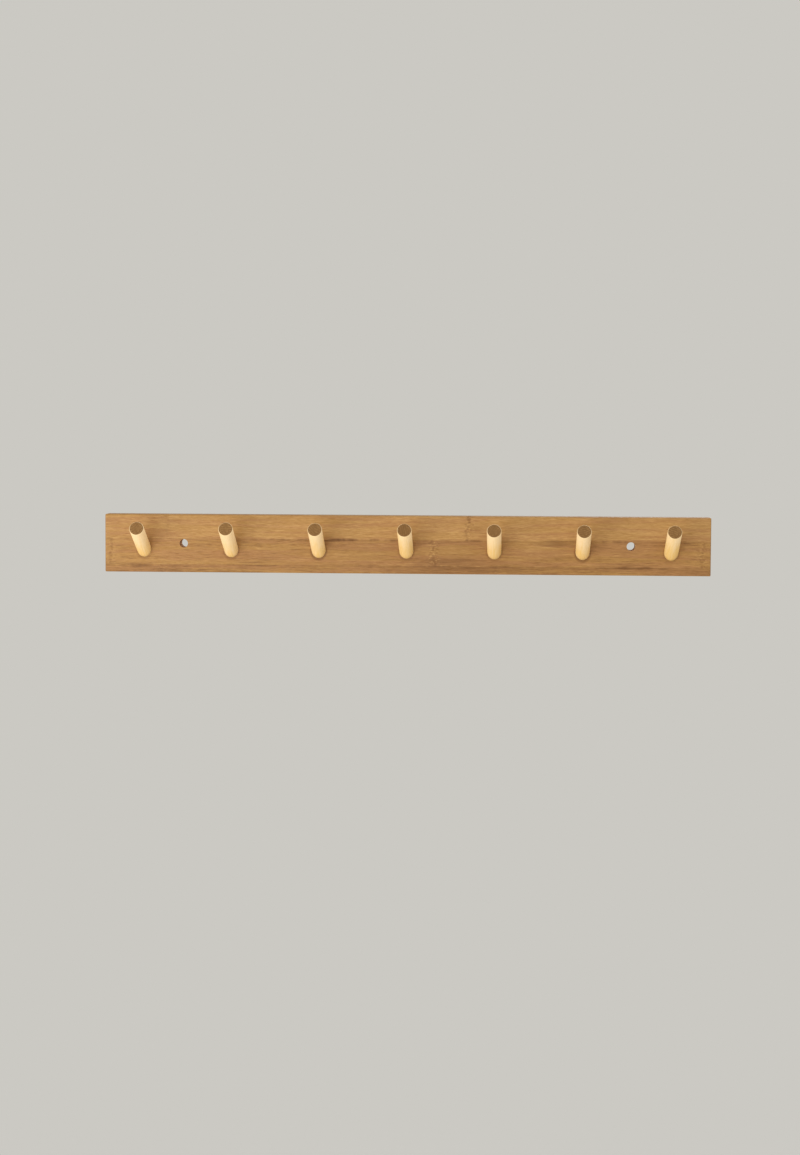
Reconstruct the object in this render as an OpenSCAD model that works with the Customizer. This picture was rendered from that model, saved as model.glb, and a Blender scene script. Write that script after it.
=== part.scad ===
// Wall coat rack: a laminated bamboo board that carries a row of round wooden pegs.
// Units are millimetres. +Z is up, +X runs along the board and the wall is on the +Y side.
// The origin is the middle of the board's back face, where it lies against the wall.
// Each peg is glued into a blind socket, bored at the tilt of the peg, and is drawn in by
// a wood screw from behind, whose head lies sunk below the back face.

/* [Board] */
// Length of the board along the wall
board_l = 600; // [560:1:900]
// Height of the board
board_h = 57.5; // [54:0.5:90]
// Thickness of the board
board_t = 20; // [18:0.5:30]
// Radius of the eased edges round the front face
front_edge_r = 1.6; // [0.4:0.1:3]
// Radius of the eased edges round the back face
back_edge_r = 0.6; // [0.2:0.1:1.5]
// Radius of the board's four corners, seen from the front
corner_r = 1.4; // [0.4:0.1:6]

/* [Lamination] */
// Thickness of the front ply and of the back ply, the core fills the rest
face_ply_t = 5; // [4:0.5:8]
// Width of one full bamboo strip
strip_w = 25.5; // [24:0.5:28]
// Narrowest strip that is left at an edge of the board, a narrower one is part of its neighbour
edge_strip_w = 3; // [2:0.5:5]
// Distance from the wall screw holes up to the nearest seam of the face plies
face_seam_gap = 0.25; // [0.2:0.05:1]
// How far the core's seams lie below the seams of the face plies
core_stagger = 11; // [8:0.5:16]

/* [Pegs] */
// Number of pegs in the row
peg_count = 7; // [3:1:7]
// Distance from peg to peg
peg_pitch = 87; // [72:0.5:93]
// Diameter of a peg
peg_d = 14; // [12:0.5:18]
// Length of a peg that stands out of the board, along its axis
peg_reach = 53; // [30:0.5:80]
// Length of a peg inside its socket, along its axis
peg_seat = 11.5; // [8:0.5:12]
// Upward tilt of the pegs from the horizontal, in degrees
peg_tilt = 25; // [5:1:32]
// Height of the pegs below the middle of the board, at its front face
peg_drop = 5.7; // [0:0.1:8]
// Chamfer round the free end of a peg
tip_chamfer = 0.4; // [0.3:0.1:3]
// Chamfer round the hidden end of a peg
foot_chamfer = 0.8; // [0.2:0.1:2]
// Glue gap round a peg in its socket
glue_gap = 0.1; // [0.05:0.05:0.3]
// Glue pocket between the end of a peg and the floor of its socket
floor_gap = 0.3; // [0.1:0.1:0.6]

/* [Peg screws] */
// Diameter of the screw that holds a peg from behind
screw_d = 3.5; // [3:0.5:5]
// Length of the screw with its head
screw_l = 35; // [28:1:40]
// Diameter of its countersunk head
head_d = 7; // [6:0.5:9]
// Least depth of the head's rim below the back face
head_sink = 0.8; // [0.3:0.1:1.5]
// Length of the screw's point
point_l = 5; // [2:0.5:8]
// Gap round the screw and its head
screw_gap = 0.1; // [0.05:0.05:0.3]
// Length of each slot of the cross recess in the head
recess_l = 3.6; // [2.4:0.1:5]
// Width of each slot of the cross recess
recess_w = 1; // [0.6:0.1:1.4]
// Depth of the cross recess
recess_depth = 1.5; // [0.8:0.1:1.8]

/* [Wall screw holes] */
// Diameter of the two holes for the wall screws
hole_d = 8.5; // [4:0.5:10]
// Distance of each hole from the end peg of its side, towards the middle
hole_inset = 39.5; // [25:0.5:45]

/* [Hidden] */
$fn = 96;
// Runs a cut clear through the face that it opens
past = 1;

bamboo_face = [0.71, 0.53, 0.33];
bamboo_core = [0.64, 0.46, 0.27];
bamboo_back = [0.68, 0.50, 0.31];
peg_wood = [0.95, 0.83, 0.63];
zinc = [0.78, 0.77, 0.72];

// Heights of the seams between strips. The face plies have one just above the wall screw holes
// and the peg sockets, so that each of these is bored in a single strip, and the others lie
// whole strips away from it. The lists run downwards and hold the board's edges too.
top_z = board_h / 2;
socket_top_z = (peg_d / 2 + glue_gap) / cos(peg_tilt) - peg_drop;
face_seam_z = max(hole_d / 2, socket_top_z) + face_seam_gap;
face_edges = strip_edges(face_seam_z);
core_edges = strip_edges(face_seam_z - core_stagger);

// Places along Y: the wall is at 0 and the front face at -board_t
front_y = -board_t;
core_front_y = front_y + face_ply_t;
core_back_y = -face_ply_t;

// Places along a peg's axis, measured outwards from where it leaves the front face
seat_floor = -peg_seat - floor_gap;
back_face_at = -board_t / cos(peg_tilt);
head_top_at = back_face_at + (head_sink + head_d / 2 * sin(peg_tilt)) / cos(peg_tilt);
head_h = (head_d - screw_d) / 2;
screw_tip_at = head_top_at + screw_l;
// How far a tilted cut has to run past a face to open its whole mouth
mouth = (peg_d / 2 + glue_gap) * tan(peg_tilt) + past;

end_peg_x = peg_pitch * (peg_count - 1) / 2;
hole_x = end_peg_x - hole_inset;

// Heights of a ply's strip edges from the top down, given the height of one of its seams
function strip_edges(seam_z) =
    let (most = ceil(board_h / strip_w))
    concat(
        [top_z],
        [for (k = [most:-1:-most])
            let (z = seam_z + k * strip_w)
            if (abs(z) <= top_z - edge_strip_w) z],
        [-top_z]
    );

// Section of the board with eased corners: width along x, back face at y = 0
module eased_section(width) {
    half = width / 2;
    translate([-half, front_y + front_edge_r])
        square([width, board_t - front_edge_r - back_edge_r]);
    translate([-half + front_edge_r, front_y])
        square([width - 2 * front_edge_r, front_edge_r]);
    translate([-half + back_edge_r, -back_edge_r])
        square([width - 2 * back_edge_r, back_edge_r]);
    for (side = [-1, 1]) {
        translate([side * (half - front_edge_r), front_y + front_edge_r]) circle(front_edge_r);
        translate([side * (half - back_edge_r), -back_edge_r]) circle(back_edge_r);
    }
}

// Front view of the board: a rectangle with slightly rounded corners
module front_outline() {
    square([board_l - 2 * corner_r, board_h], center = true);
    square([board_l, board_h - 2 * corner_r], center = true);
    for (x = [-1, 1], z = [-1, 1])
        translate([x * (board_l / 2 - corner_r), z * (board_h / 2 - corner_r)]) circle(corner_r);
}

// The whole board as one blank, its edges eased along and across
module board_blank() {
    intersection() {
        rotate([90, 0, 90]) linear_extrude(board_l, center = true)
            mirror([1, 0]) rotate(90) eased_section(board_h);
        linear_extrude(board_h, center = true) eased_section(board_l);
        rotate([90, 0, 0]) linear_extrude(board_t) front_outline();
    }
}

// Places its children on the axis of peg i, +Z pointing out along the peg
module on_peg_axis(i) {
    x = -end_peg_x + (i - 1) * peg_pitch;
    translate([x, front_y, -peg_drop]) rotate([90 - peg_tilt, 0, 0]) children();
}

// Outline of the peg screw about its axis, grown on all sides by gap. Given a pocket depth, it
// runs on behind the head by that much, at the width of the head
module screw_outline(gap, pocket = 0) {
    r = screw_d / 2 + gap;
    head_r = head_d / 2 + gap;
    polygon(concat(
        [[0, head_top_at - pocket], [head_r, head_top_at - pocket]],
        pocket > 0 ? [[head_r, head_top_at]] : [],
        [[r, head_top_at + head_h], [r, screw_tip_at - point_l], [0, screw_tip_at + gap]]
    ));
}

// All that is bored for one peg: its socket, the screw's way through and the sunk head's pocket
module peg_boring() {
    translate([0, 0, seat_floor]) cylinder(d = peg_d + 2 * glue_gap, h = mouth - seat_floor);
    rotate_extrude() screw_outline(screw_gap, head_top_at - back_face_at + mouth);
}

// Everything that is cut from the strips once they are glued up
module borings() {
    for (i = [1:peg_count]) on_peg_axis(i) peg_boring();
    for (side = [-1, 1])
        translate([side * hole_x, past, 0]) rotate([90, 0, 0]) cylinder(d = hole_d, h = board_t + 2 * past);
}

// Strip number s of a ply, counted from 1 at the top, between two depths
module strip(edges, s, y0, y1) {
    difference() {
        intersection() {
            board_blank();
            translate([-board_l / 2, y0, edges[s]])
                cube([board_l, y1 - y0, edges[s - 1] - edges[s]]);
        }
        borings();
    }
}

module front_strip(s) {
    color(bamboo_face) strip(face_edges, s, front_y, core_front_y);
}

module core_strip(s) {
    color(bamboo_core) strip(core_edges, s, core_front_y, core_back_y);
}

module back_strip(s) {
    color(bamboo_back) strip(face_edges, s, core_back_y, 0);
}

// A round peg with both ends chamfered, and the screw's hole in its foot
module peg(i) {
    r = peg_d / 2;
    color(peg_wood) on_peg_axis(i) difference() {
        rotate_extrude() polygon([
            [0, -peg_seat],
            [r - foot_chamfer, -peg_seat],
            [r, -peg_seat + foot_chamfer],
            [r, peg_reach - tip_chamfer],
            [r - tip_chamfer, peg_reach],
            [0, peg_reach]
        ]);
        rotate_extrude() screw_outline(screw_gap);
    }
}

// A countersunk wood screw with a cross recess, its thread left plain
module peg_screw(i) {
    color(zinc) on_peg_axis(i) difference() {
        rotate_extrude() screw_outline(0);
        for (turn = [0, 90])
            rotate(turn) translate([-recess_l / 2, -recess_w / 2, head_top_at - past])
                cube([recess_l, recess_w, recess_depth + past]);
    }
}

for (s = [1:len(face_edges) - 1]) {
    front_strip(s);
    back_strip(s);
}
for (s = [1:len(core_edges) - 1]) {
    core_strip(s);
}
for (i = [1:peg_count]) {
    peg(i);
    peg_screw(i);
}
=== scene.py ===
"""The looks of a wall coat rack: a laminated bamboo board with a row of tilted round pegs.

Lengths are in millimetres unless a name ends in _m, and the frame's own metres are reached
through MM. +X runs along the board to the right, +Z is up and +Y goes into the wall.
"""
import logging
import math
from dataclasses import dataclass
from enum import Enum
from typing import Sequence, Union

import bpy
import numpy as np
from mathutils import Matrix, Vector


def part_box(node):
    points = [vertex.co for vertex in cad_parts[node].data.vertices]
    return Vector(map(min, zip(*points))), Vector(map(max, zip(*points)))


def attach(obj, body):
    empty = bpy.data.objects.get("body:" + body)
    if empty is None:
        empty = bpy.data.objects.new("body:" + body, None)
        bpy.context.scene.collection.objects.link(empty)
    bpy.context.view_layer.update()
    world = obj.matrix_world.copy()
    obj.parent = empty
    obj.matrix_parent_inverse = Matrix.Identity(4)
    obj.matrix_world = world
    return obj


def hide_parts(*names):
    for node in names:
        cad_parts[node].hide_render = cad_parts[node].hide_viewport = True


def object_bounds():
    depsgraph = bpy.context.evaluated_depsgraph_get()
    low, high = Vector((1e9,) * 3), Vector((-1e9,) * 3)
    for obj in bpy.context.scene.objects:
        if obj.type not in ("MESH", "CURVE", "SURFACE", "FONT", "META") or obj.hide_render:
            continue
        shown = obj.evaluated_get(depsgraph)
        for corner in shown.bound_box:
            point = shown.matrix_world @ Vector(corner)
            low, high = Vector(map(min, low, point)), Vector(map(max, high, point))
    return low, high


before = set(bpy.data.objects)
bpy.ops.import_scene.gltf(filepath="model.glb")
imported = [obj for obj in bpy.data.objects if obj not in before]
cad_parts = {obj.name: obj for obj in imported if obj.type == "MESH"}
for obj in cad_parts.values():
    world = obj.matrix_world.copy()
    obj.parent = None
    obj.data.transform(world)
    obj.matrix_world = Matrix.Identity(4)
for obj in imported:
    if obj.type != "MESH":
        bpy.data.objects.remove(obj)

CAD_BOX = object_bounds()
MM = 0.001
ROOT_BODY = "root"
BRIGHTEST = 255
WHITE = (1.0, 1.0, 1.0, 1.0)
PEG_TILT = math.radians(25)
SHARP_BEND = math.radians(30)
ROUND_STEPS = 5
BUMP_STRENGTH = 0.5
PLY_SEED, STRIP_SEED, COARSE_SEED, PEG_SEED = 7.0, 2.3, 1.3, 3.7

Colour = tuple[float, float, float, float]
Socket = bpy.types.NodeSocket
Feed = Union[Socket, float, Sequence[float]]

log = logging.getLogger("coat_rack")


def linear(red: int, green: int, blue: int) -> Colour:
    """Turns a screen colour into linear light, by the formula of the sRGB standard.

    Args:
        red: Red, from 0 to 255.
        green: Green, from 0 to 255.
        blue: Blue, from 0 to 255.

    Returns:
        The colour in linear light, with alpha 1.
    """
    parts = [value / BRIGHTEST for value in (red, green, blue)]
    light = [v / 12.92 if v <= 0.04045 else ((v + 0.055) / 1.055) ** 2.4 for v in parts]
    return (light[0], light[1], light[2], 1.0)


class Graph:
    """Adds nodes to one shader tree. Any input takes a socket, which is linked, or a value."""

    def __init__(self, tree: bpy.types.NodeTree) -> None:
        """Keeps the tree that the nodes go to."""
        self.tree = tree

    def add(self, kind: str, feeds: dict[Union[str, int], Feed], **settings: object) -> bpy.types.Node:
        """Adds one node.

        Args:
            kind: The node's type in Blender.
            feeds: What each named or numbered input takes.
            **settings: The node's own properties.

        Returns:
            The new node.
        """
        node = self.tree.nodes.new(kind)
        for name, value in settings.items():
            setattr(node, name, value)
        for key, feed in feeds.items():
            self.feed(node.inputs[key], feed)
        return node

    def feed(self, inlet: Socket, feed: Feed) -> None:
        """Links a socket to an input, or sets the input's value.

        Args:
            inlet: The input.
            feed: A socket or a value.
        """
        if isinstance(feed, bpy.types.NodeSocket):
            self.tree.links.new(feed, inlet)
        else:
            inlet.default_value = feed

    def use(self, effect: "Effect", **feeds: Feed) -> bpy.types.bpy_prop_collection:
        """Places an effect, with what each of its inputs takes, and returns its outputs by name."""
        return self.add("ShaderNodeGroup", feeds, node_tree=effect.tree).outputs

    def place(self) -> Socket:
        """Gives the place on the rack in millimetres, the same in every piece."""
        feeds = {0: self.add("ShaderNodeTexCoord", {}).outputs["Object"], "Scale": 1 / MM}
        return self.add("ShaderNodeVectorMath", feeds, operation="SCALE").outputs[0]

    def normal(self) -> Socket:
        """Gives the way that the surface faces, in the rack's own directions."""
        return self.add("ShaderNodeTexCoord", {}).outputs["Normal"]

    def math(self, operation: str, *feeds: Feed) -> Socket:
        """Adds a Math node and returns what it gives."""
        return self.add("ShaderNodeMath", dict(enumerate(feeds)), operation=operation).outputs[0]

    def vector(self, operation: str, *feeds: Feed) -> Socket:
        """Adds a Vector Math node and returns the vector it gives."""
        return self.add("ShaderNodeVectorMath", dict(enumerate(feeds)), operation=operation).outputs[0]

    def times(self, value: Feed, factor: Feed) -> Socket:
        """Multiplies two values."""
        return self.math("MULTIPLY", value, factor)

    def distance(self, across: Feed, up: Feed) -> Socket:
        """Gives how far the point (across, up) lies from (0, 0)."""
        return self.math("SQRT", self.math("ADD", self.times(across, across), self.times(up, up)))

    def in_cells(self, place: Feed, cell: Feed) -> Socket:
        """Counts a place in cells, so that noise there has features of the cell's size."""
        return self.vector("DIVIDE", place, cell)

    def total(self, *feeds: Feed) -> Socket:
        """Adds up any number of values.

        Args:
            *feeds: The values, two or more.

        Returns:
            Their sum.
        """
        result = feeds[0]
        for feed in feeds[1:]:
            result = self.math("ADD", result, feed)
        return result

    def step(self, value: Feed, low: Feed, high: Feed) -> Socket:
        """Gives 0 where the value is at low and 1 where it is at high, with a smooth rise between."""
        feeds = {"Value": value, "From Min": low, "From Max": high}
        return self.add("ShaderNodeMapRange", feeds, interpolation_type="SMOOTHSTEP").outputs[0]

    def span(self, value: Feed, low: Feed, high: Feed) -> Socket:
        """Stretches a value of 0 to 1 so that it runs from low to high."""
        feeds = {"Value": value, "To Min": low, "To Max": high}
        return self.add("ShaderNodeMapRange", feeds).outputs[0]

    def mix(self, share: Feed, base: Feed, top: Feed) -> Socket:
        """Mixes two colours, where a share of 1 gives the top one."""
        return self.add("ShaderNodeMix", {0: share, 6: base, 7: top}, data_type="RGBA").outputs[2]

    def noise(self, place: Feed, detail: float, roughness: float = 0.55) -> Socket:
        """Gives smooth noise of 0 to 1, with features about one unit of the place in size."""
        feeds = {"Vector": place, "Scale": 1.0, "Detail": detail, "Roughness": roughness}
        return self.add("ShaderNodeTexNoise", feeds).outputs[0]

    def swing(self, value: Feed, gain: float) -> Socket:
        """Turns a value of 0 to 1 into one that swings about 0, and multiplies it by the gain."""
        feeds = {0: value, 1: gain, 2: -gain / 2}
        return self.add("ShaderNodeMath", feeds, operation="MULTIPLY_ADD").outputs[0]

    def cells(self, place: Feed) -> Socket:
        """Gives the distance to the nearest of scattered points, one to each unit cube."""
        return self.add("ShaderNodeTexVoronoi", {"Vector": place, "Scale": 1.0}).outputs["Distance"]

    def bump(self, height: Feed, relief: float) -> Socket:
        """Gives the normals of a surface whose heights of 0 to 1 run over relief millimetres."""
        feeds = {"Height": height, "Strength": BUMP_STRENGTH, "Distance": relief * MM}
        return self.add("ShaderNodeBump", feeds).outputs[0]

    def split(self, place: Feed) -> tuple[Socket, Socket, Socket]:
        """Splits a vector into its three parts."""
        parts = self.add("ShaderNodeSeparateXYZ", {0: place}).outputs
        return parts[0], parts[1], parts[2]

    def join(self, x: Feed, y: Feed, z: Feed) -> Socket:
        """Joins three values into a vector."""
        return self.add("ShaderNodeCombineXYZ", {0: x, 1: y, 2: z}).outputs[0]


class Effect(Graph):
    """A shader node group that several finishes share, built once and placed with its own values."""

    def __init__(self, name: str, vectors: list[str], values: list[str], results: list[str]) -> None:
        """Makes the group and its named inputs and outputs.

        Args:
            name: The group's name.
            vectors: The inputs that take a vector.
            values: The inputs that take one value.
            results: The outputs, each of one value.
        """
        super().__init__(bpy.data.node_groups.new(name, "ShaderNodeTree"))
        kinds = (("INPUT", "Vector", vectors), ("INPUT", "Float", values), ("OUTPUT", "Float", results))
        for side, kind, labels in kinds:
            for label in labels:
                self.tree.interface.new_socket(name=label, in_out=side, socket_type=f"NodeSocket{kind}")
        self.inlets = self.add("NodeGroupInput", {}).outputs
        self.outlets = self.add("NodeGroupOutput", {}).inputs

    def gives(self, **results: Feed) -> None:
        """Links each result to the output of its name."""
        for label, result in results.items():
            self.feed(self.outlets[label], result)


def grain_effect() -> Effect:
    """Fibres that run along X, seen from any side of the solid, from the end as dots.

    Streaks are noise in cells of the asked length and width, Hairs are the same noise a few
    times finer, Flecks are finer still and short, and Clouds are coarser. Fibres are the cores
    of scattered thin cells.

    Returns:
        The group: Place in millimetres with X along the grain, Length, Width and Seed.
    """
    g = Effect(
        "Grain", ["Place"], ["Length", "Width", "Seed"],
        ["Streaks", "Hairs", "Flecks", "Clouds", "Fibres"],
    )
    # Shares of a streak's length, and twice of its width
    hair_share, fleck_share = (0.4, 0.3, 0.3), (0.21, 0.22, 0.22)
    cloud_share, fibre_share = (1.6, 3.5, 3.5), (0.17, 0.15, 0.15)
    seed_step, crisp, fibre_edge, fibre_core = 317.0, 0.65, 0.4, 0.2
    apart = g.join(g.times(g.inlets["Seed"], seed_step), g.inlets["Seed"], 0.0)
    moved = g.vector("ADD", g.inlets["Place"], apart)
    streak = g.join(g.inlets["Length"], g.inlets["Width"], g.inlets["Width"])
    hair, fleck, cloud, fibre = (
        g.in_cells(moved, g.vector("MULTIPLY", streak, share))
        for share in (hair_share, fleck_share, cloud_share, fibre_share)
    )
    g.gives(
        Streaks=g.noise(g.in_cells(moved, streak), detail=2.0),
        Hairs=g.noise(hair, detail=4.0, roughness=crisp),
        Flecks=g.noise(fleck, detail=3.0, roughness=crisp),
        Clouds=g.noise(cloud, detail=1.0),
        Fibres=g.step(g.cells(fibre), fibre_edge, fibre_core),
    )
    return g


def stretch_effect() -> Effect:
    """A stretch of the board's length, with soft ends.

    Returns:
        The group: Place in millimetres, Start and End along X. Inside is 1 within the stretch.
    """
    g = Effect("Stretch", ["Place"], ["Start", "End"], ["Inside"])
    soft = 8.0
    x, _, _ = g.split(g.inlets["Place"])
    begun = g.step(g.math("SUBTRACT", x, g.inlets["Start"]), -soft, soft)
    going = g.step(g.math("SUBTRACT", g.inlets["End"], x), -soft, soft)
    g.gives(Inside=g.times(begun, going))
    return g


def seam_effect() -> Effect:
    """A glue line at one height, whose edge wanders along X.

    Returns:
        The group: Place, Height and Width in millimetres. Line is the glue itself and Shade
        the stained wood on both sides of it.
    """
    g = Effect("Seam", ["Place"], ["Height", "Width"], ["Line", "Shade"])
    wander, wander_length = 1.2, 26.0
    patch_length, patch_row = 11.0, 3.0
    line_patches, shade_patches, shade_widths = (0.25, 0.6), (0.3, 0.7), 5.0
    x, _, z = g.split(g.inlets["Place"])
    slow = g.noise(g.join(g.math("DIVIDE", x, wander_length), g.inlets["Height"], 0.0), detail=2.0)
    off = g.total(g.math("SUBTRACT", z, g.inlets["Height"]), g.swing(slow, wander))
    gap = g.math("ABSOLUTE", off)
    patches = g.join(g.math("DIVIDE", x, patch_length), g.inlets["Height"], patch_row)
    uneven = g.noise(patches, detail=2.0)
    line = g.step(gap, g.inlets["Width"], 0.0)
    shade = g.step(gap, g.times(g.inlets["Width"], shade_widths), 0.0)
    g.gives(
        Line=g.times(line, g.step(uneven, *line_patches)),
        Shade=g.times(shade, g.step(uneven, *shade_patches)),
    )
    return g


def knuckle_effect() -> Effect:
    """A node of the cane: a broken, wavering line across the strip, amid short ticks.

    Returns:
        The group: Place and Centre in millimetres, Lean as a slope and Seed. Ticks are dark,
        Glints are pale, and Push is how far the fibres bend there, from -1 to 1.
    """
    g = Effect("Knuckle", ["Place"], ["Centre", "Lean", "Seed"], ["Line", "Ticks", "Glints", "Push"])
    wave_depth, wave_height, wave_gain, wave_reach = 9.0, 6.5, 2.0, 5.0
    break_height, break_row, breaks = 1.8, 5.0, (0.38, 0.56)
    line_fade, tick_fade, push_fade = (2.0, 0.4), (8.5, 1.5), (18.0, 0.0)
    tick_cell, dark_ticks, pale_ticks = (3.0, 1.2, 1.2), (0.52, 0.68), (0.46, 0.32)
    x, y, z = g.split(g.inlets["Place"])
    waved = g.join(g.math("DIVIDE", z, wave_height), g.inlets["Seed"], g.math("DIVIDE", y, wave_depth))
    wave = g.swing(g.noise(waved, detail=2.0, roughness=0.7), wave_gain)
    middle = g.total(g.times(wave, wave_reach), g.times(z, g.inlets["Lean"]), g.inlets["Centre"])
    far = g.math("ABSOLUTE", g.math("SUBTRACT", x, middle))
    gaps = g.join(g.math("DIVIDE", z, break_height), g.inlets["Seed"], break_row)
    broken = g.noise(gaps, detail=2.0)
    near = g.step(far, *tick_fade)
    apart = g.vector("ADD", g.inlets["Place"], g.join(g.inlets["Seed"], 0.0, 0.0))
    fine = g.noise(g.in_cells(apart, tick_cell), detail=2.0)
    g.gives(
        Line=g.times(g.step(far, *line_fade), g.step(broken, *breaks)),
        Ticks=g.times(near, g.step(fine, *dark_ticks)),
        Glints=g.times(near, g.step(fine, *pale_ticks)),
        Push=g.times(wave, g.step(far, *push_fade)),
    )
    return g


def vein_effect() -> Effect:
    """A darker patch of fibres, long and low, with a ragged rim.

    Returns:
        The group: Place, Middle, Reach along X and Rise along Z in millimetres.
    """
    g = Effect("Vein", ["Place", "Middle"], ["Reach", "Rise"], ["Mask"])
    rag_cell, rag, rim = (22.0, 4.0, 2.2), 1.5, 1.15
    x, _, z = g.split(g.vector("SUBTRACT", g.inlets["Place"], g.inlets["Middle"]))
    ragged = g.swing(g.noise(g.in_cells(g.inlets["Place"], rag_cell), detail=2.0), rag)
    away = g.distance(g.math("DIVIDE", x, g.inlets["Reach"]), g.math("DIVIDE", z, g.inlets["Rise"]))
    g.gives(Mask=g.step(g.math("ADD", away, ragged), rim, 0.0))
    return g


def contact_shade_effect() -> Effect:
    """Painted contact shade on the wood round a slanted socket, darkest at the socket's edge.

    The socket's mouth is taller than wide. Heights are pressed flat by Flatten, so that the
    mouth turns into a circle of the asked Radius.

    Returns:
        The group: Place, Middle, Radius and Reach in millimetres. Stain falls from 1 to 0.
    """
    g = Effect("ContactShade", ["Place", "Middle"], ["Radius", "Reach", "Flatten"], ["Stain"])
    x, _, z = g.split(g.vector("SUBTRACT", g.inlets["Place"], g.inlets["Middle"]))
    away = g.distance(x, g.times(z, g.inlets["Flatten"]))
    g.gives(Stain=g.step(g.math("SUBTRACT", away, g.inlets["Radius"]), g.inlets["Reach"], 0.0))
    return g


def facing_effect() -> Effect:
    """How squarely a surface faces along an axis, so that cut ends can look like end grain.

    Returns:
        The group: Normal and Axis. Cut is 1 on a face square to the axis and small on a bevel.
    """
    g = Effect("Facing", ["Normal", "Axis"], [], ["Cut"])
    slanted, square = 0.6, 0.97
    feeds = {0: g.inlets["Normal"], 1: g.inlets["Axis"]}
    along = g.add("ShaderNodeVectorMath", feeds, operation="DOT_PRODUCT").outputs["Value"]
    g.gives(Cut=g.step(g.math("ABSOLUTE", along), slanted, square))
    return g


def bore_effect() -> Effect:
    """The wall of a round hole bored along Y.

    Returns:
        The group: Place, Centre along X and Radius in millimetres. Wall is 1 inside the hole.
    """
    g = Effect("Bore", ["Place"], ["Centre", "Radius"], ["Wall"])
    outside, inside = 0.08, 0.02
    x, _, z = g.split(g.inlets["Place"])
    reach = g.distance(g.math("SUBTRACT", x, g.inlets["Centre"]), z)
    g.gives(Wall=g.step(g.math("SUBTRACT", reach, g.inlets["Radius"]), outside, inside))
    return g


@dataclass(frozen=True)
class Effects:
    """The shared effects, each built once."""

    grain: Effect
    stretch: Effect
    seam: Effect
    knuckle: Effect
    vein: Effect
    # Painted contact shade round the pegs' sockets
    rim: Effect
    facing: Effect
    bore: Effect


def new_material(name: str) -> tuple[bpy.types.Material, Graph, bpy.types.Node]:
    """Starts a node material.

    Args:
        name: The material's name.

    Returns:
        The material, the graph of its tree and its Principled shader.
    """
    material = bpy.data.materials.new(name)
    material.use_nodes = True
    return material, Graph(material.node_tree), material.node_tree.nodes["Principled BSDF"]


def new_object(name: str, data: bpy.types.ID) -> bpy.types.Object:
    """Wraps a mesh, a lamp or a camera in an object and links it to the scene.

    Args:
        name: The object's name.
        data: What it shows.

    Returns:
        The object, at the origin.
    """
    made = bpy.data.objects.new(name, data)
    bpy.context.scene.collection.objects.link(made)
    return made


def dress(node: str, material: bpy.types.Material) -> None:
    """Gives a CAD node one material in place of its own.

    Args:
        node: The node's name.
        material: The material.
    """
    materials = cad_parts[node].data.materials
    materials.clear()
    materials.append(material)


@dataclass(frozen=True)
class Knuckle:
    """Where a node of the cane crosses a strip: its place along the board, slope and strength."""

    along: float
    lean: float = 0.0
    depth: float = 1.0


@dataclass(frozen=True)
class Vein:
    """A darker patch of a strip: its middle, how far it reaches both ways and how dark it is."""

    along: float
    up: float
    reach: float
    rise: float
    depth: float


@dataclass(frozen=True)
class Stretch:
    """A stretch of a seam, from start to end along the board, that is darker by depth."""

    start: float
    end: float
    depth: float


@dataclass(frozen=True)
class Seam:
    """A glue line between two strips of a ply."""

    height: float
    depth: float
    stretches: tuple[Stretch, ...]


@dataclass(frozen=True)
class ContactShade:
    """Painted contact shade round the socket of one peg: its place along the board and how dark it is.

    Its middle lies a little below the socket's own, so it is widest under the peg.
    """

    along: float
    depth: float
    up: float = -7.0
    radius: float = 7.1
    reach: float = 2.4
    flatten: float = math.cos(PEG_TILT)


class Ply(Enum):
    """The layers of the board, each with the start of its strips' names."""

    FRONT = "front"
    CORE = "core"
    BACK = "back"


@dataclass(frozen=True)
class Strip:
    """One strip of the board, its CAD node and what marks it. Its seed sets its pattern apart."""

    node: str
    ply: Ply
    seed: float
    tone: float
    contrast: float
    knuckles: tuple[Knuckle, ...]
    veins: tuple[Vein, ...]
    seams: tuple[Seam, ...]
    bores: tuple[tuple[float, float], ...]
    contact_shades: tuple[ContactShade, ...]


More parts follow.
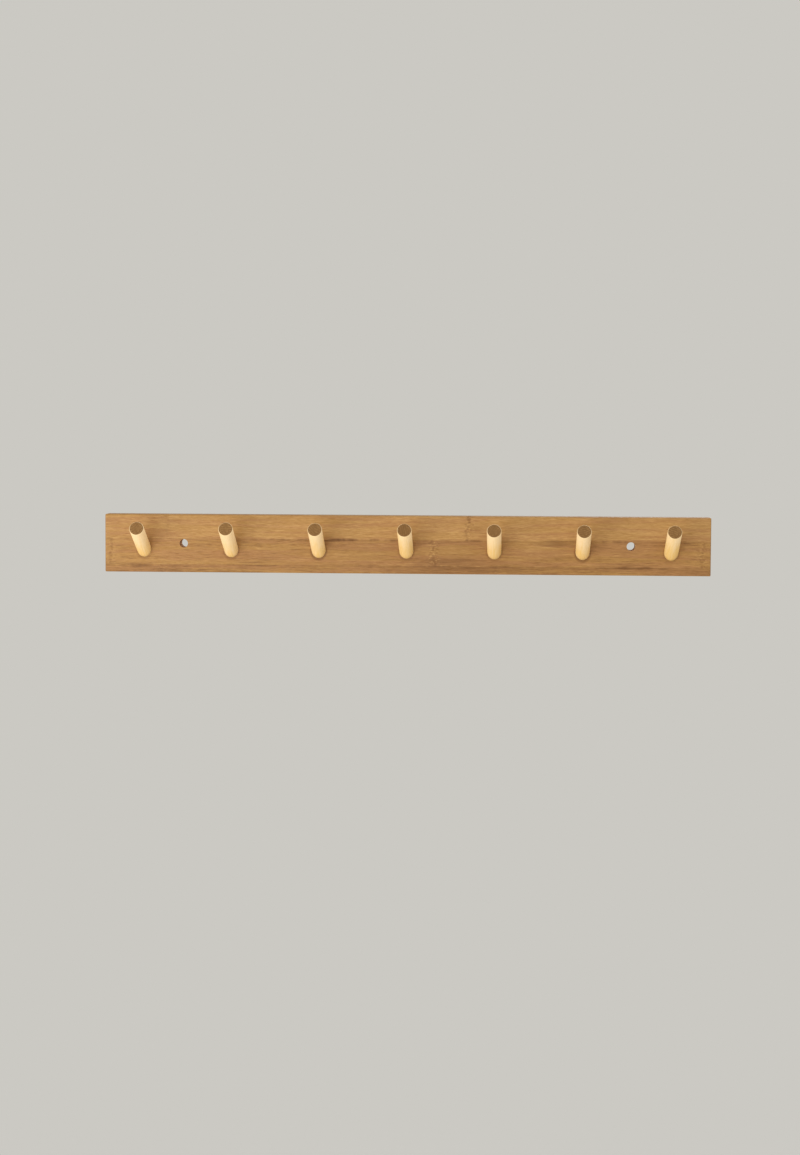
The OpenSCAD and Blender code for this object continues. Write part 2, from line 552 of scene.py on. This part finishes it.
@dataclass(frozen=True)
class Bamboo:
    """Carbonised bamboo, pressed from strips. Its colours are in linear light."""

    gold: Colour
    rose: Colour
    pale: Colour
    deep: Colour
    vein: Colour
    glue: Colour
    end: Colour
    bored: Colour
    roughness: float
    coat: float
    streak_length: float = 46.0
    streak_width: float = 2.6
    streak_gain: float = 1.6
    hair_gain: float = 2.0
    fleck_gain: float = 2.6
    cloud_gain: float = 1.2
    coarseness: float = 2.0
    rose_from: float = 0.4
    rose_to: float = 0.6
    sway: float = 5.0
    sway_length: float = 95.0
    sway_height: float = 30.0
    knuckle_push: float = 1.6
    fibre_share: float = 0.38
    glint_share: float = 0.45
    tick_share: float = 0.55
    line_share: float = 0.3
    end_share: float = 0.6
    seam_width: float = 0.55
    seam_groove: float = 1.5
    relief: float = 0.03
    dull_roughness: float = 0.85
    coat_roughness: float = 0.35
    specular: float = 0.3

    def tone(
        self, g: Graph, strip: Strip, place: Socket, pushes: list[Socket], effects: Effects
    ) -> tuple[Socket, Socket]:
        """Mixes the strip's bare colour, before its marks.

        The grain sways slowly up and down along the board and bends at the knuckles. Gold and
        rose mix by coarse streaks. The sum of fine streaks, hairs, flecks, coarse clouds and the
        strip's own tone takes them on to pale where it is above 0 and to deep where it is below.

        Args:
            g: The graph of the strip's material.
            strip: The strip.
            place: The place in millimetres.
            pushes: How far each knuckle bends the fibres.
            effects: The shared effects.

        Returns:
            The colour and the fibres' mask.
        """
        x, y, z = g.split(place)
        along, up = g.math("DIVIDE", x, self.sway_length), g.math("DIVIDE", z, self.sway_height)
        sway = g.times(g.noise(g.join(along, strip.seed, up), detail=1.0), self.sway)
        bent = g.join(x, y, g.total(z, sway, *pushes))
        grain = g.use(
            effects.grain, Place=bent, Seed=strip.seed,
            Length=self.streak_length, Width=self.streak_width,
        )
        coarse = g.use(
            effects.grain, Place=bent, Seed=strip.seed + COARSE_SEED,
            Length=self.streak_length * self.coarseness, Width=self.streak_width * self.coarseness,
        )
        tone = g.total(
            g.swing(grain["Streaks"], self.streak_gain * strip.contrast),
            g.swing(grain["Hairs"], self.hair_gain * strip.contrast),
            g.swing(grain["Flecks"], self.fleck_gain),
            g.swing(coarse["Clouds"], self.cloud_gain * strip.contrast),
            strip.tone,
        )
        colour = g.mix(g.step(coarse["Streaks"], self.rose_from, self.rose_to), self.gold, self.rose)
        colour = g.mix(g.step(tone, 0.0, 1.0), colour, self.pale)
        colour = g.mix(g.step(tone, 0.0, -1.0), colour, self.deep)
        return g.mix(g.times(grain["Fibres"], self.fibre_share), colour, self.deep), grain["Fibres"]

    def material(self, strip: Strip, effects: Effects) -> bpy.types.Material:
        """Builds the finish of one strip: its bare colour, then its marks one by one.

        Args:
            strip: The strip and its marks.
            effects: The shared effects.

        Returns:
            The material.
        """
        material, g, shader = new_material(f"bamboo_{strip.node}")
        place = g.place()
        knuckles = []
        for knuckle in strip.knuckles:
            found = g.use(
                effects.knuckle, Place=place, Centre=knuckle.along, Lean=knuckle.lean,
                Seed=strip.seed + knuckle.along,
            )
            knuckles.append((knuckle.depth, found))
        pushes = [g.times(found["Push"], self.knuckle_push * depth) for depth, found in knuckles]
        colour, fibres = self.tone(g, strip, place, pushes, effects)
        for vein in strip.veins:
            patch = g.use(
                effects.vein, Place=place, Middle=(vein.along, 0.0, vein.up),
                Reach=vein.reach, Rise=vein.rise,
            )
            colour = g.mix(g.times(patch["Mask"], vein.depth), colour, self.vein)
        for depth, found in knuckles:
            colour = g.mix(g.times(found["Glints"], self.glint_share * depth), colour, self.pale)
            colour = g.mix(g.times(found["Ticks"], self.tick_share * depth), colour, self.deep)
            colour = g.mix(g.times(found["Line"], self.line_share * depth), colour, self.vein)
        grooves = [fibres]
        for seam in strip.seams:
            found = g.use(effects.seam, Place=place, Height=seam.height, Width=self.seam_width)
            strength = seam.depth
            for stretch in seam.stretches:
                dark = g.use(effects.stretch, Place=place, Start=stretch.start, End=stretch.end)
                strength = g.total(strength, g.times(dark["Inside"], stretch.depth))
            colour = g.mix(g.times(found["Shade"], strength), colour, self.vein)
            colour = g.mix(g.times(found["Line"], strength), colour, self.glue)
            grooves.append(g.times(found["Line"], self.seam_groove))
        # Painted contact shade round each peg's socket, widest under the peg
        for rim in strip.contact_shades:
            painted_shade = g.use(
                effects.rim, Place=place, Middle=(rim.along, 0.0, rim.up),
                Radius=rim.radius, Reach=rim.reach, Flatten=rim.flatten,
            )
            colour = g.mix(g.times(painted_shade["Stain"], rim.depth), colour, self.vein)
        cut = g.use(effects.facing, Normal=g.normal(), Axis=(1.0, 0.0, 0.0))["Cut"]
        colour = g.mix(g.times(cut, self.end_share), colour, self.end)
        dull = g.math("MAXIMUM", cut, fibres)
        for centre, radius in strip.bores:
            wall = g.use(effects.bore, Place=place, Centre=centre, Radius=radius)["Wall"]
            colour = g.mix(wall, colour, self.bored)
            dull = g.math("MAXIMUM", dull, wall)
        g.feed(shader.inputs["Base Color"], colour)
        g.feed(shader.inputs["Roughness"], g.span(dull, self.roughness, self.dull_roughness))
        g.feed(shader.inputs["Normal"], g.bump(g.times(g.total(*grooves), -1.0), self.relief))
        shader.inputs["Coat Weight"].default_value = self.coat
        shader.inputs["Coat Roughness"].default_value = self.coat_roughness
        shader.inputs["Specular IOR Level"].default_value = self.specular
        return material


@dataclass(frozen=True)
class Dowel:
    """Light hardwood, turned and sanded, with darker end grain. Its colours are in linear light."""

    pale: Colour
    warm: Colour
    end_pale: Colour
    end_deep: Colour
    roughness: float = 0.5
    end_roughness: float = 0.8
    specular: float = 0.3
    ring_width: float = 2.1
    ring_rise: tuple[float, float] = (0.3, 0.9)
    ring_fall: tuple[float, float] = (1.0, 0.93)
    pith_away: float = 24.0
    wobble: float = 2.2
    wobble_cell: tuple[float, float, float] = (9.0, 9.0, 40.0)
    streak_length: float = 22.0
    streak_width: float = 1.6
    streak_gain: float = 1.6
    cloud_gain: float = 1.0
    side_rings: float = 0.22
    side_fibres: float = 0.2
    warm_at: float = 1.5
    # How dark the painted contact shade at the peg's foot is
    foot_shade: float = 0.2
    foot_height: float = 3.0
    mottle_gain: float = 1.8
    mottle_cell: tuple[float, float, float] = (1.9, 1.9, 30.0)
    end_rings: float = 0.4
    end_fibres: float = 0.3
    ring_relief: float = 0.4
    relief: float = 0.015

    def material(self, peg: "Peg", effects: Effects) -> bpy.types.Material:
        """Builds the finish of one peg, which follows its own tilted axis.

        Growth rings are evenly spaced shells about a line beside the peg, the pith, so they run
        as lines along its side and as arcs across its end. The side grows warmer towards the foot,
        painted warm light reflected from the board, and darker at the foot, painted contact shade.

        Args:
            peg: The peg, with its place and tilt.
            effects: The shared effects.

        Returns:
            The material.
        """
        material, g, shader = new_material(f"dowel_{peg.node}")
        mouth = tuple(part / MM for part in peg.mouth_m)
        feeds = {"Vector": g.place(), "Location": mouth, "Rotation": (peg.lay, 0.0, 0.0)}
        place = g.add("ShaderNodeMapping", feeds, vector_type="TEXTURE").outputs[0]
        x, y, z = g.split(place)
        grain = g.use(
            effects.grain, Place=g.join(z, x, y), Seed=peg.seed,
            Length=self.streak_length, Width=self.streak_width,
        )
        pith_x, pith_y = self.pith_away * math.cos(peg.turn), self.pith_away * math.sin(peg.turn)
        reach = g.distance(g.math("SUBTRACT", x, pith_x), g.math("SUBTRACT", y, pith_y))
        wobble = g.times(g.noise(g.in_cells(place, self.wobble_cell), detail=0.5), self.wobble)
        rings = g.math("FRACT", g.math("DIVIDE", g.total(reach, wobble), self.ring_width))
        late = g.times(g.step(rings, *self.ring_rise), g.step(rings, *self.ring_fall))
        share = g.total(
            g.times(late, self.side_rings),
            g.swing(grain["Streaks"], self.streak_gain),
            g.swing(grain["Clouds"], self.cloud_gain),
            g.times(grain["Fibres"], self.side_fibres),
            # painted warm light reflected from the board, growing towards the foot
            g.step(z, peg.reach, 0.0),
            peg.warmth,
        )
        side = g.mix(g.step(share, 0.0, self.warm_at), self.pale, self.warm)
        # Painted contact shade: the side darkens towards the foot
        foot = g.step(z, self.foot_height, -self.foot_height)
        side = g.mix(g.times(foot, self.foot_shade), side, self.end_pale)
        cut = g.use(effects.facing, Normal=g.normal(), Axis=tuple(peg.axis))["Cut"]
        mottle = g.noise(g.in_cells(place, self.mottle_cell), detail=3.0)
        end_share = g.total(
            g.times(late, self.end_rings),
            g.swing(mottle, self.mottle_gain),
            g.times(grain["Fibres"], self.end_fibres),
            peg.end_tone,
        )
        end = g.mix(g.step(end_share, 0.0, 1.0), self.end_pale, self.end_deep)
        g.feed(shader.inputs["Base Color"], g.mix(cut, side, end))
        g.feed(shader.inputs["Roughness"], g.span(cut, self.roughness, self.end_roughness))
        height = g.total(g.times(grain["Fibres"], -1.0), g.times(late, self.ring_relief))
        g.feed(shader.inputs["Normal"], g.bump(height, self.relief))
        shader.inputs["Specular IOR Level"].default_value = self.specular
        return material


@dataclass(frozen=True)
class Zinc:
    """Bright zinc plating on a screw."""

    bright: Colour
    dull: Colour
    smoothest: float = 0.24
    roughest: float = 0.48
    cloud_size: float = 2.0
    clouds_from: float = 0.35
    clouds_to: float = 0.7
    apart: float = 19.0

    def material(self, screw: "PegScrew") -> bpy.types.Material:
        """Builds the plating, cloudy as a dipped coat is.

        Args:
            screw: The screw, whose number moves the clouds.

        Returns:
            The material.
        """
        material, g, shader = new_material(f"zinc_{screw.node}")
        moved = g.vector("ADD", g.place(), (screw.number * self.apart, 0.0, 0.0))
        clouds = g.noise(g.in_cells(moved, (self.cloud_size,) * 3), detail=4.0)
        share = g.step(clouds, self.clouds_from, self.clouds_to)
        g.feed(shader.inputs["Base Color"], g.mix(share, self.bright, self.dull))
        g.feed(shader.inputs["Roughness"], g.span(clouds, self.smoothest, self.roughest))
        shader.inputs["Metallic"].default_value = 1.0
        return material


@dataclass
class Board:
    """The laminated board: three plies of three strips, bored for the wall screws."""

    face: Bamboo
    core: Bamboo
    back: Bamboo
    knuckles: dict[str, tuple[Knuckle, ...]]
    veins: dict[str, tuple[Vein, ...]]
    tones: dict[str, float]
    contrasts: dict[str, float]
    upper_stretches: tuple[Stretch, ...]
    lower_stretches: tuple[Stretch, ...]
    shade_depths: tuple[float, ...]
    strips_per_ply: int = 3
    face_seam_depth: float = 0.18
    inner_seam_depth: float = 0.5
    hole_x: float = 221.5
    hole_r: float = 4.25
    peg_pitch: float = 87.0

    def contact_shades(self) -> tuple[ContactShade, ...]:
        """Lists the painted contact shades round the sockets, evenly spaced about the board's middle.
        """
        middle = (len(self.shade_depths) - 1) / 2
        return tuple(ContactShade((i - middle) * self.peg_pitch, depth) for i, depth in enumerate(self.shade_depths))

    def seams(self, ply: Ply, bottom_m: float, top_m: float) -> tuple[Seam, ...]:
        """Lists a strip's seams: the edges of it that aren't the board's own.

        Args:
            ply: The strip's ply. Only the front ply has dark stretches.
            bottom_m: The height of the strip's lower edge, in metres.
            top_m: The height of its upper edge, in metres.

        Returns:
            The seams.
        """
        low_m, high_m = CAD_BOX
        found = []
        for edge_m in (bottom_m, top_m):
            if not low_m.z + MM < edge_m < high_m.z - MM:
                continue
            if ply is Ply.FRONT:
                stretches = self.upper_stretches if edge_m > 0 else self.lower_stretches
                found.append(Seam(edge_m / MM, self.face_seam_depth, stretches))
            else:
                found.append(Seam(edge_m / MM, self.inner_seam_depth, ()))
        return tuple(found)

    def strips(self) -> list[Strip]:
        """Works out every strip's marks, with its seams and bores from the frame.

        Returns:
            The strips, front ply first.
        """
        found = []
        for depth, ply in enumerate(Ply):
            for number in range(1, self.strips_per_ply + 1):
                name = f"{ply.value}_strip_{number}"
                bottom_m, top_m = (corner.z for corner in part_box(name))
                bored = bottom_m < 0 < top_m
                bores = tuple((side * self.hole_x, self.hole_r) for side in (-1, 1)) if bored else ()
                # Only the front ply gets the painted contact shade round the sockets
                contact_shades = self.contact_shades() if bored and ply is Ply.FRONT else ()
                found.append(Strip(
                    name, ply, PLY_SEED * depth + STRIP_SEED * number,
                    self.tones.get(name, 0.0), self.contrasts.get(name, 1.0),
                    self.knuckles.get(name, ()), self.veins.get(name, ()),
                    self.seams(ply, bottom_m, top_m), bores, contact_shades,
                ))
        return found

    def build(self, effects: Effects) -> None:
        """Gives every strip's CAD node its finish.

        Args:
            effects: The shared effects.
        """
        finishes = {Ply.FRONT: self.face, Ply.CORE: self.core, Ply.BACK: self.back}
        for strip in self.strips():
            dress(strip.node, finishes[strip.ply].material(strip, effects))
            marks = len(strip.knuckles), len(strip.veins), len(strip.seams)
            log.info("%s: %d knuckles, %d veins, %d seams", strip.node, *marks)


def turned_mesh(name: str, radius: np.ndarray, along: np.ndarray) -> bpy.types.Mesh:
    """Makes a closed skin about the Z axis from two grids.

    Point (row, column) stands at the angle column * 360 / columns, at the distance radius
    from the axis and at the height along. The first and the last row are closed to a point
    on the axis at their mean height. Rows run so that the faces point outwards.

    Args:
        name: The mesh's name.
        radius: Distances from the axis, rows by columns, in millimetres.
        along: Heights along the axis, of the same shape.

    Returns:
        The mesh, in metres, about its own Z axis.
    """
    rows, columns = radius.shape
    angle = np.arange(columns) * 2 * math.pi / columns
    ring = np.stack([radius * np.cos(angle), radius * np.sin(angle), along], axis=-1).reshape(-1, 3)
    poles = np.array([[0.0, 0.0, along[0].mean()], [0.0, 0.0, along[-1].mean()]])
    points = np.vstack([ring, poles]) * MM
    here = np.arange(columns)
    after = (here + 1) % columns
    start = (np.arange(rows - 1) * columns)[:, None]
    corners = [start + here, start + after, start + columns + after, start + columns + here]
    quads = np.stack(corners, axis=-1)
    first, last = rows * columns, rows * columns + 1
    fan_first = np.stack([np.full(columns, first), after, here], axis=-1)
    top = (rows - 1) * columns
    fan_last = np.stack([np.full(columns, last), top + here, top + after], axis=-1)
    mesh = bpy.data.meshes.new(name)
    faces = quads.reshape(-1, 4).tolist() + fan_first.tolist() + fan_last.tolist()
    mesh.from_pydata(points.tolist(), [], faces)
    return mesh


def laid_object(mesh: bpy.types.Mesh, lay: float, mouth_m: Vector) -> bpy.types.Object:
    """Turns a mesh about X, moves it to its place and wraps it in an object at the origin.

    Args:
        mesh: The mesh about its own Z axis.
        lay: The turn about X, in radians.
        mouth_m: Where the mesh's own origin goes, in metres.

    Returns:
        The object, linked to the scene and riding on the root body.
    """
    mesh.transform(Matrix.Translation(mouth_m) @ Matrix.Rotation(lay, 4, "X"))
    mesh.shade_smooth()
    mesh.set_sharp_from_angle(angle=SHARP_BEND)
    piece = new_object(mesh.name, mesh)
    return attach(piece, ROOT_BODY)


def rounded(points: Sequence[tuple[float, float]], radii: Sequence[float]) -> np.ndarray:
    """Rounds the corners of an open outline.

    Each inner corner gives way to a quadratic curve with the corner as its control point, which
    starts and ends at the corner's radius from it.

    Args:
        points: The outline's corners as (radius, along).
        radii: How far from each inner corner its rounding starts, 0 for none.

    Returns:
        The outline, one point to a row.
    """
    corners = np.array(points, float)
    result = [corners[0]]
    for before, corner, after, reach in zip(corners[:-2], corners[1:-1], corners[2:], radii):
        if reach == 0:
            result.append(corner)
            continue
        start = corner + (before - corner) / np.linalg.norm(before - corner) * reach
        end = corner + (after - corner) / np.linalg.norm(after - corner) * reach
        share = np.linspace(0, 1, ROUND_STEPS)[:, None]
        result.extend((1 - share) ** 2 * start + 2 * share * (1 - share) * corner + share**2 * end)
    result.append(corners[-1])
    return np.array(result)


@dataclass
class Peg:
    """One peg: a dowel with a chamfered free end, seated in the board at a tilt."""

    number: int
    finish: Dowel
    warmth: float
    end_tone: float
    reach: float = 53.0
    seat: float = 11.5
    tip_chamfer: float = 0.4
    deeper: float = 0.12
    waves: tuple[float, float] = (0.3, 0.2)
    foot_chamfer: float = 0.8
    foot_round: float = 0.15
    tip_round: float = 0.18
    drop: float = 5.7
    tilt: float = PEG_TILT
    turn_step: float = 2.4
    pilot_r: float = 1.85
    pilot_end: float = 10.45
    pilot_point: float = 15.55
    pole_r: float = 0.05
    columns: int = 128

    @property
    def node(self) -> str:
        """The name of the peg's CAD node."""
        return f"peg_{self.number}"

    @property
    def seed(self) -> float:
        """A number of the peg's own, which sets its grain apart."""
        return PEG_SEED * self.number

    @property
    def turn(self) -> float:
        """The way that the peg's growth rings face, in radians."""
        return self.turn_step * self.number

    @property
    def lay(self) -> float:
        """The turn about X from upright to the peg's own lie, in radians."""
        return math.pi / 2 - self.tilt

    @property
    def axis(self) -> Vector:
        """The direction in which the peg stands out of the board."""
        return Vector((0.0, -math.cos(self.tilt), math.sin(self.tilt)))

    @property
    def mouth_m(self) -> Vector:
        """Where the peg's axis leaves the front face, from the frame."""
        low_m, high_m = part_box(self.node)
        return Vector(((low_m.x + high_m.x) / 2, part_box("front_strip_2")[0].y, -self.drop * MM))

    @property
    def radius(self) -> float:
        """The peg's radius, from the frame."""
        low_m, high_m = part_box(self.node)
        return (high_m.x - low_m.x) / 2 / MM

    def outline(self, chamfer: float) -> np.ndarray:
        """Draws half of the peg's section.

        It runs from the point of the pilot hole, down the hole's wall, round the foot, up
        the side, over the chamfer and in to the middle of the end. The two points on the
        side hold the shading straight between them.

        Args:
            chamfer: The chamfer round the free end.

        Returns:
            The outline as (radius, along), one point to a row.
        """
        r, foot = self.radius, self.foot_chamfer
        corners = [
            (self.pole_r, self.pilot_point), (self.pilot_r, self.pilot_end), (self.pilot_r, -self.seat),
            (r - foot, -self.seat), (r, foot - self.seat), (r, 0.0), (r, self.reach / 2),
            (r, self.reach - chamfer), (r - chamfer, self.reach), (self.pole_r, self.reach),
        ]
        radii = (0, 0, self.foot_round, self.foot_round, 0, 0, self.tip_round, self.tip_round)
        return rounded(corners, radii)

    def build(self, effects: Effects) -> None:
        """Builds the peg as one turned skin and lets it stand for its CAD node.

        The chamfer was sanded by hand. Between the plain outline and one with a deeper
        chamfer, the skin at each angle takes a share that is a sum of two sine waves.

        Args:
            effects: The shared effects.
        """
        angle = np.arange(self.columns) * 2 * math.pi / self.columns
        broad, narrow = self.waves
        share = 0.5 + broad * np.sin(angle + self.turn) + narrow * np.sin(3 * angle + 2 * self.turn)
        plain, deep = self.outline(self.tip_chamfer), self.outline(self.tip_chamfer + self.deeper)
        section = plain[:, None, :] + (deep - plain)[:, None, :] * share[None, :, None]
        mesh = turned_mesh(f"{self.node}_turned", section[..., 0], section[..., 1])
        piece = laid_object(mesh, self.lay, self.mouth_m)
        piece.data.materials.append(self.finish.material(self, effects))
        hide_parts(self.node)
        log.info("%s: %d faces", piece.name, len(mesh.polygons))


@dataclass
class PegScrew:
    """The countersunk wood screw behind one peg."""

    number: int
    finish: Zinc

    @property
    def node(self) -> str:
        """The name of the screw's CAD node."""
        return f"peg_screw_{self.number}"

    def build(self) -> None:
        """Gives the screw's CAD node its plating."""
        dress(self.node, self.finish.material(self))
        log.info("%s: plated", self.node)


@dataclass(frozen=True)
class Lamp:
    """A soft rectangular lamp that faces the middle of the rack, in metres and watts."""

    name: str
    place_m: tuple[float, float, float]
    wide_m: float
    high_m: float
    power: float

    def build(self) -> None:
        """Adds the lamp to the scene."""
        light = bpy.data.lights.new(self.name, "AREA")
        light.shape = "RECTANGLE"
        light.size, light.size_y = self.wide_m, self.high_m
        light.energy = self.power
        lamp = new_object(self.name, light)
        lamp.location = self.place_m
        lamp.rotation_euler = (-Vector(self.place_m)).to_track_quat("-Z", "Y").to_euler()


@dataclass
class Studio:
    """Camera, lamps, backdrop and floor."""

    backdrop: Colour
    lamps: tuple[Lamp, ...]
    ambient: float = 0.905
    floor_drop_m: float = 1.25
    floor_r_m: float = 2.4
    floor_sides: int = 96
    floor_roughness: float = 0.9
    fade_from: float = 0.4
    fade_to: float = 0.96
    eye: tuple[float, float, float] = (100.0, -2300.2, 120.8)
    yaw: float = math.radians(2.664)
    pitch: float = math.radians(-3.837)
    roll: float = math.radians(0.294)
    lens: float = 72.0

    def camera(self) -> None:
        """Stands the camera where the photograph was taken from.

        The camera first looks along +Y. It is rolled about its own axis, pitched, and then
        turned to the left by the yaw.
        """
        camera = bpy.data.cameras.new("camera")
        camera.lens = self.lens
        seat = new_object("camera", camera)
        seat.location = Vector(self.eye) * MM
        level = Matrix.Rotation(math.pi / 2 + self.pitch, 3, "X")
        turn = Matrix.Rotation(self.yaw, 3, "Z") @ level @ Matrix.Rotation(self.roll, 3, "Z")
        seat.rotation_euler = turn.to_euler()
        bpy.context.scene.camera = seat

    def world(self) -> None:
        """Lights the scene evenly, and shows the pale backdrop to the camera and to metal."""
        world = bpy.data.worlds.new("studio")
        bpy.context.scene.world = world
        world.use_nodes = True
        g = Graph(world.node_tree)
        even = world.node_tree.nodes["Background"]
        even.inputs["Color"].default_value = WHITE
        even.inputs["Strength"].default_value = self.ambient
        seen = g.add("ShaderNodeBackground", {"Color": self.backdrop, "Strength": 1.0})
        path = g.add("ShaderNodeLightPath", {}).outputs
        shiny = g.math("MAXIMUM", path["Is Glossy Ray"], path["Is Transmission Ray"])
        direct = g.math("MAXIMUM", path["Is Camera Ray"], shiny)
        both = g.add("ShaderNodeMixShader", {0: direct, 1: even.outputs[0], 2: seen.outputs[0]})
        g.feed(world.node_tree.nodes["World Output"].inputs["Surface"], both.outputs[0])

    def floor(self) -> None:
        """Lays a round pale floor that fades into the backdrop towards its edge.

        Its rim is a circle about the Z axis, as one flat face.
        """
        angle = np.arange(self.floor_sides) * 2 * math.pi / self.floor_sides
        level = np.full(self.floor_sides, -self.floor_drop_m)
        rim = np.stack([np.cos(angle) * self.floor_r_m, np.sin(angle) * self.floor_r_m, level], axis=-1)
        mesh = bpy.data.meshes.new("floor")
        mesh.from_pydata(rim.tolist(), [], [list(range(self.floor_sides))])
        floor = new_object("floor", mesh)
        material, g, shader = new_material("floor")
        shader.inputs["Base Color"].default_value = self.backdrop
        shader.inputs["Roughness"].default_value = self.floor_roughness
        place = g.add("ShaderNodeTexCoord", {}).outputs["Object"]
        feeds = {0: place, 1: (0.0, 0.0, -self.floor_drop_m)}
        reach = g.add("ShaderNodeVectorMath", feeds, operation="DISTANCE").outputs["Value"]
        fade = g.step(reach, self.floor_r_m * self.fade_to, self.floor_r_m * self.fade_from)
        g.feed(shader.inputs["Alpha"], fade)
        mesh.materials.append(material)

    def build(self) -> None:
        """Builds the whole studio."""
        self.camera()
        for lamp in self.lamps:
            lamp.build()
        self.world()
        self.floor()
        bpy.context.scene.view_settings.view_transform = "Standard"
        log.info("studio: camera, %d lamps, backdrop and floor", len(self.lamps))


FACE_BAMBOO = Bamboo(
    gold=linear(168, 124, 65), rose=linear(164, 117, 67), pale=linear(190, 146, 86),
    deep=linear(130, 89, 42), vein=linear(110, 69, 27), glue=linear(98, 60, 24),
    end=linear(126, 88, 48), bored=linear(196, 148, 90), roughness=0.5, coat=0.04,
)
CORE_BAMBOO = Bamboo(
    gold=linear(156, 115, 65), rose=linear(150, 107, 65), pale=linear(176, 134, 82),
    deep=linear(122, 84, 44), vein=linear(102, 65, 30), glue=linear(83, 50, 21),
    end=linear(119, 82, 44), bored=linear(192, 146, 90), roughness=0.55, coat=0.0,
)
BACK_BAMBOO = Bamboo(
    gold=linear(164, 123, 73), rose=linear(158, 116, 73), pale=linear(182, 141, 91),
    deep=linear(128, 90, 50), vein=linear(106, 70, 34), glue=linear(88, 56, 25),
    end=linear(124, 88, 50), bored=linear(190, 144, 90), roughness=0.6, coat=0.0,
)
PEG_WOOD = Dowel(
    pale=linear(250, 216, 163), warm=linear(242, 199, 121),
    end_pale=linear(154, 115, 66), end_deep=linear(120, 84, 41),
)
SCREW_ZINC = Zinc(bright=linear(206, 206, 200), dull=linear(176, 178, 172))

KNUCKLES = {
    "front_strip_1": (Knuckle(59.0, 0.1, 1.2), Knuckle(-236.0, -0.1, 0.3)),
    "front_strip_2": (
        Knuckle(-293.0, 0.1, 0.9), Knuckle(26.0, -0.1, 1.4), Knuckle(292.0, 0.05, 1.1),
    ),
    "front_strip_3": (Knuckle(-251.0, -0.3, 0.9), Knuckle(92.0, 0.2, 0.4)),
    "core_strip_1": (Knuckle(-120.0), Knuckle(171.0)),
    "core_strip_2": (Knuckle(-60.0), Knuckle(224.0)),
    "core_strip_3": (Knuckle(-180.0), Knuckle(104.0)),
    "back_strip_1": (Knuckle(-205.0, 0.2), Knuckle(96.0, -0.1)),
    "back_strip_2": (Knuckle(-88.0, -0.2), Knuckle(214.0, 0.15)),
    "back_strip_3": (Knuckle(-10.0, 0.1), Knuckle(266.0, -0.2)),
}
VEINS = {
    "front_strip_1": (Vein(72.0, 15.0, 18.0, 12.0, 0.22),),
    "front_strip_2": (
        Vein(30.0, -8.0, 230.0, 40.0, 0.16),
        Vein(150.0, 1.5, 34.0, 3.6, 0.5),
        Vein(44.0, -16.5, 46.0, 5.0, 0.55),
        Vein(-154.0, -18.5, 20.0, 1.2, 0.5),
        # Partly painted shadow beside the third peg, partly a darker patch along the seam
        Vein(-81.0, 3.9, 14.0, 2.0, 0.9),
    ),
    "front_strip_3": (
        Vein(40.0, -24.0, 260.0, 40.0, 0.16),
        Vein(-240.0, -25.0, 34.0, 6.0, 0.25),
        Vein(-266.0, -23.0, 9.0, 0.9, 0.7),
        Vein(-150.0, -20.0, 60.0, 4.0, 0.25),
        Vein(60.0, -24.0, 90.0, 4.5, 0.4),
        Vein(223.0, -22.0, 26.0, 1.6, 0.5),
        Vein(288.0, -24.0, 22.0, 8.0, 0.25),
    ),
    "back_strip_2": (Vein(-160.0, -8.0, 60.0, 3.0, 0.4), Vein(120.0, 2.0, 80.0, 2.4, 0.3)),
}
UPPER_STRETCHES = (
    # The stretch from -90 to -54 is partly the seam's dark line, partly painted shadow of the third peg
    Stretch(-150.0, -88.0, 0.35), Stretch(-90.0, -54.0, 0.25), Stretch(-90.0, -8.0, 0.72),
    Stretch(61.0, 80.0, 0.5), Stretch(140.0, 170.0, 0.3), Stretch(180.0, 218.0, 0.55),
)
LOWER_STRETCHES = (
    Stretch(-279.0, -258.0, 0.35), Stretch(11.0, 58.0, 0.35),
    Stretch(86.0, 101.0, 0.6), Stretch(203.0, 243.0, 0.5),
)
TONES = {
    "front_strip_1": 0.35, "front_strip_2": -0.06, "front_strip_3": -0.26,
    "core_strip_1": 0.05, "core_strip_2": -0.1, "core_strip_3": 0.02,
    "back_strip_1": 0.0, "back_strip_2": 0.1, "back_strip_3": -0.08,
}
CONTRASTS = {"front_strip_1": 0.65}
BACKDROP = linear(203, 201, 195)
LAMPS = (
    Lamp("key", (-0.75, -1.0, -0.42), 1.3, 0.9, 9.9),
    Lamp("back_light", (0.8, 1.7, 0.7), 1.4, 1.4, 10.0),
)
PEG_WARMTHS = (0.0, -0.25, -0.05, 0.15, 0.0, -0.05, 0.3)
PEG_END_TONES = (0.4, 0.4, 0.5, 0.65, 0.55, 0.55, 0.45)
# How dark the painted contact shade round each peg's socket is
SOCKET_SHADE_DEPTHS = (0.25, 0.35, 0.6, 0.35, 0.3, 0.6, 0.25)


def main() -> None:
    """Builds the rack's looks and the studio, in order."""
    logging.basicConfig(level=logging.INFO, format="%(name)s: %(message)s")
    Studio(BACKDROP, LAMPS).build()
    effects = Effects(
        grain_effect(), stretch_effect(), seam_effect(), knuckle_effect(), vein_effect(), contact_shade_effect(),
        facing_effect(), bore_effect(),
    )
    Board(
        FACE_BAMBOO, CORE_BAMBOO, BACK_BAMBOO, KNUCKLES, VEINS, TONES, CONTRASTS, UPPER_STRETCHES,
        LOWER_STRETCHES, SOCKET_SHADE_DEPTHS,
    ).build(effects)
    for number, (warmth, end_tone) in enumerate(zip(PEG_WARMTHS, PEG_END_TONES), 1):
        Peg(number, PEG_WOOD, warmth, end_tone).build(effects)
        PegScrew(number, SCREW_ZINC).build()


if __name__ == "__main__":
    main()
